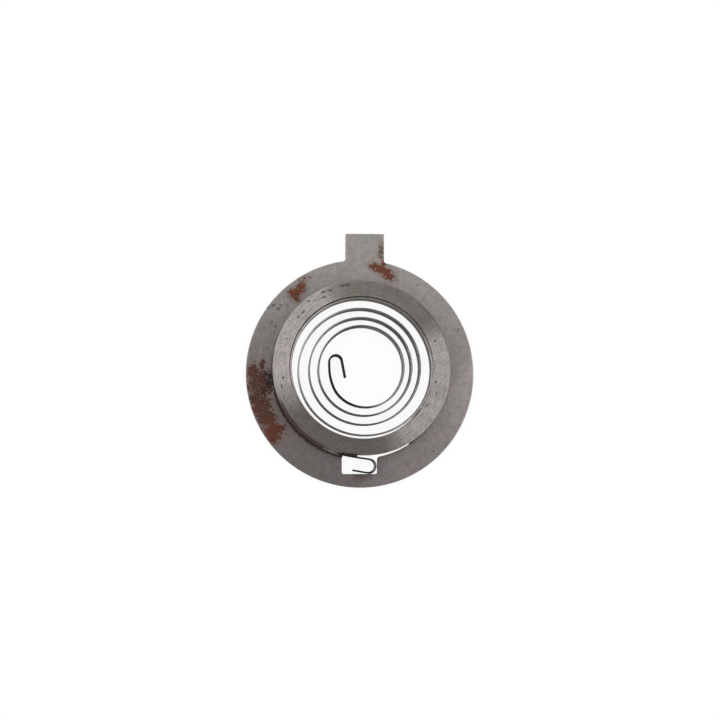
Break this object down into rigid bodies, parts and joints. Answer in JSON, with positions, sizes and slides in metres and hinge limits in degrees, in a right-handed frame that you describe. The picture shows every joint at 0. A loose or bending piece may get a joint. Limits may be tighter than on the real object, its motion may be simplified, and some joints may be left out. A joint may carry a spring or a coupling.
{
  "type": "spiral power spring in keeper ring",
  "caption": "Flat coiled steel strip spring with a hook at each end, wound tight inside a flat steel keeper ring with a locating tab, for a pull starter.",
  "frame": {"origin": "on the coil's axis, in the plane of the ring's back face and the strip's back edge", "axes": "+Z along the coil's axis, out of the face where the strip stands proud of the ring, and +Y towards the ring's tab"},
  "size_m": [0.076, 0.0849, 0.006],
  "materials": {
    "plate_steel": "dull bare stamped sheet with patches of rust",
    "spring_steel": "rolled bare strip, bright along its edges"
  },
  "bodies": {
    "root": {"keeper_ring": "plate_steel", "power_spring": "spring_steel"}
  },
  "joints": []
}
